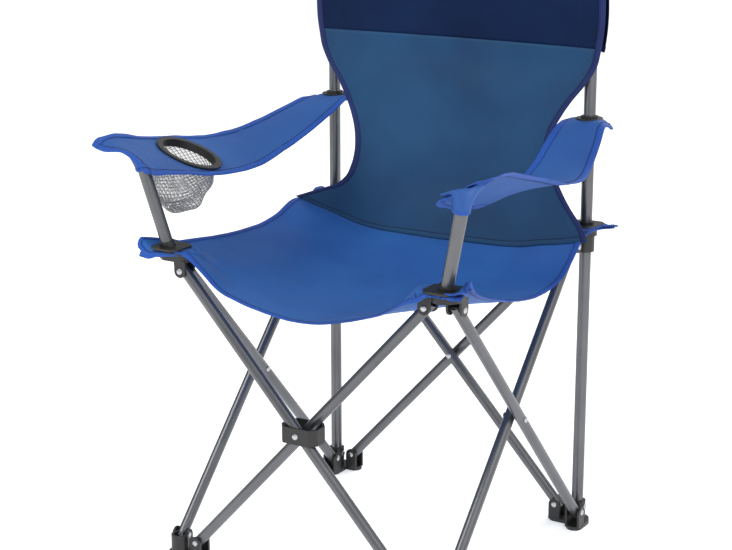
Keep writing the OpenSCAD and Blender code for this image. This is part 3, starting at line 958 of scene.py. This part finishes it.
def make_armrest(side, name, hub):
    place = arm_surface(side)
    us = steps(-1, 1, 0.07)
    front_y = ARM[side][0][0]
    rounded = [REAR_Y - MID_Y + ARM_END_R * math.sin(math.radians(a)) for a in range(6, 91, 6)]
    tube = Vector((side * CORNER_X, REAR_Y))
    near_tube = lambda p: (Vector((p.x, p.y)) - tube).length < ARM_HOLE_R
    for where in ("front", "rear"):
        base = f"armrest_{name}_{where}"
        if where == "front":
            ys = [*steps(front_y, ARM_FOLD_Y - 3, 4), ARM_FOLD_Y - 0.4, ARM_FOLD_Y]
            along = steps(front_y, ARM_FOLD_Y, 3.5)
            edges = [Edge(place, [(s, y, -s * 0.1, 0) for y in along]) for s in (-1, 1)]
            edges.append(Edge(place, [(u, front_y, 0, 1) for u in steps(-1, 1, 0.03)]))
            hole, waver = in_cup if side < 0 else None, 1.6
        else:
            ys = [ARM_FOLD_Y, ARM_FOLD_Y + 0.4, *steps(ARM_FOLD_Y + 3, REAR_Y - MID_Y, 4), *rounded]
            edges = [arm_outline(side, place)]
            hole, waver = near_tube, 0.4
        panel = cloth(base + "_cloth", place, us, ys, [ARM_CLOTH], ARM_THICK, hole, rim=False)
        hems = [
            hem(
                f"{base}_hem_{k}", edge, HEM_CLOTH, width=11, bulk=1.25, waver=waver, seed=k + 2 * side
            )
            for k, edge in enumerate(edges)
        ]
        sewn = stitching(base + "_stitching", edges, 9.5, 1.6)
        pocket = make_pocket(side, name, hub, place) if where == "front" else []
        for piece in [panel, *hems, sewn, *pocket]:
            if where == "front":
                crease(piece)
            else:
                crease(piece)
        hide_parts(base)


# ---------- cup pouch ----------

POUCH_H = 80
pouch_r = curve(
    (0, 44.5), (8, 44.5), (24, 45.5), (46, 46), (60, 44.5), (69, 40), (76, 25), (POUCH_H, 3)
)


def pouch_point(turn, depth):
    """A point of the slack net: turn in radians round the ring, depth in mm below it."""
    first = CUP_AXIS.orthogonal().normalized()
    second = CUP_AXIS.cross(first)
    slack = min(1, depth / 25)
    around = first * math.cos(turn) + second * math.sin(turn)
    waves = 0.06 * math.sin(3 * turn + 0.6) + 0.03 * math.sin(7 * turn + depth / 9)
    r = pouch_r(depth) * (1 + slack * waves)
    r += slack * 1.6 * math.sin(5 * turn - depth / 7)
    lift = slack * (3.4 * math.sin(2 * turn + 1.0) + 1.6 * math.sin(5 * turn))
    spot = CUP - CUP_AXIS * (depth + 4.5 - lift * min(1, depth / 50)) + around * r
    sway = Vector((CUP_AXIS.x, CUP_AXIS.y, 0)) * min(1, depth / POUCH_H) * -6
    return spot + sway


def make_pouch():
    """Light slanting strands that cross, with dark strands among them as painted shade, a bound rim
    and a slack round bottom.
    """
    wind = 0.42 * 2 * math.pi  # how far a strand winds round on its way down
    depths = steps(0, POUCH_H, 4)
    made = []
    # The two dark families are painted shade inside the net.
    families = (
        (1, "net_light", 66, 0.30, NET_LIGHT),
        (-1, "net_grey", 66, 0.30, NET_LIGHT),
        (-1, "net_dark_and_shade", 33, 0.36, NET_DARK_AND_SHADE),
        (1, "net_shadow", 33, 0.32, NET_DARK_AND_SHADE),
    )
    for way, name, count, radius, material in families:
        lines = []
        for k in range(count):
            start = 2 * math.pi * (k + 0.37) / count
            lines.append([pouch_point(start + way * wind * d / POUCH_H, d) for d in depths])
        points, faces = tube_mesh(lines, radius, 4)
        made.append(add_mesh("cup_" + name, points, faces, [material]))
    rim = [pouch_point(2 * math.pi * k / 72, 1.5) for k in range(72)]
    points, faces = tube_mesh([rim], 1.3, 6, closed=True)
    made.append(add_mesh("cup_net_binding", points, faces, [NET_DARK_AND_SHADE]))
    for piece in made:
        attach(piece, "armrest_left_front")
        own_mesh(piece)
    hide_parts("cup_pouch")


# ---------- hard parts ----------

def finish_hard_parts():
    """Gives each CAD node that stays its own material."""
    for name, node in frame["nodes"].items():
        if name.startswith("rivet"):
            chosen = STEEL
        elif name.startswith(("upright_cap", "post_cap")):
            chosen = CAP
        elif name.endswith(("leg_a", "leg_b")) or name.startswith(("upright", "arm_post")):
            chosen = TUBE
        else:
            chosen = PLASTIC
        if not node.material_slots:
            node.data.materials.append(chosen)
        for entry in node.material_slots:
            entry.material = chosen


# ---------- studio ----------

def make_studio():
    """A white floor and backdrop under soft light."""
    world = bpy.data.worlds.new("studio")
    bpy.context.scene.world = world
    world.use_nodes = True
    tree = world.node_tree
    sky = tree.nodes["Background"]
    way = tree.nodes.new("ShaderNodeSeparateXYZ")
    tree.links.new(tree.nodes.new("ShaderNodeTexCoord").outputs["Generated"], way.inputs[0])
    shade = tree.nodes.new("ShaderNodeValToRGB")
    stops = shade.color_ramp.elements
    stops[0].position, stops[0].color = 0.05, (0.22, 0.23, 0.26, 1)
    stops[1].position, stops[1].color = 0.5, (1, 1, 1, 1)
    spread = tree.nodes.new("ShaderNodeMath")
    spread.operation = "MULTIPLY_ADD"
    spread.inputs[1].default_value, spread.inputs[2].default_value = 0.5, 0.5
    tree.links.new(way.outputs[0], spread.inputs[0])
    tree.links.new(spread.outputs[0], shade.inputs[0])
    tree.links.new(shade.outputs[0], sky.inputs["Color"])
    sky.inputs["Strength"].default_value = 0.8
    bpy.ops.mesh.primitive_plane_add(size=40, location=(0, 0, 0))
    floor = bpy.context.object
    floor.name = "floor"
    paint = Nodes("floor_paint")
    paint.shader.inputs["Base Color"].default_value = (0.93, 0.93, 0.935, 1)
    paint.shader.inputs["Roughness"].default_value = 0.9
    paint.shader.inputs["Emission Color"].default_value = (1, 1, 1, 1)
    paint.shader.inputs["Emission Strength"].default_value = 0.5
    floor.data.materials.append(paint.material)
    lamps = (
        ("key", (-1.8, -2.2, 3.2), 2.2, 60),
        ("fill", (2.6, -1.2, 1.8), 2.5, 18),
        ("rim", (0.6, 2.8, 2.4), 2.0, 30),
    )
    for name, spot, size, power in lamps:
        data = bpy.data.lights.new(name, "AREA")
        data.size, data.energy = size, power
        lamp = bpy.data.objects.new(name, data)
        lamp.location = spot
        lamp.rotation_mode = "QUATERNION"
        lamp.rotation_quaternion = (Vector((0, 0, 0.4)) - Vector(spot)).to_track_quat("-Z", "Y")
        bpy.context.scene.collection.objects.link(lamp)
    bpy.context.scene.view_settings.view_transform = "Standard"


finish_hard_parts()
make_seat(-1, "seat_left")
make_seat(1, "seat_right")
make_patch(-1, 1, "corner_patch_front_left", "hub_front_left", tip=9, droop=0, twist=0, crest=0)
make_patch(1, 1, "corner_patch_front_right", "hub_front_right", tip=2, droop=0, twist=8, crest=12)
make_patch(-1, -1, "corner_patch_rear_left", "slider_rear_left", tip=3, droop=6, twist=2, crest=3)
make_patch(1, -1, "corner_patch_rear_right", "slider_rear_right", tip=3, droop=6, twist=2, crest=3)
make_back()
make_armrest(-1, "left", "hub_front_left")
make_armrest(1, "right", "hub_front_right")
make_pouch()
make_studio()
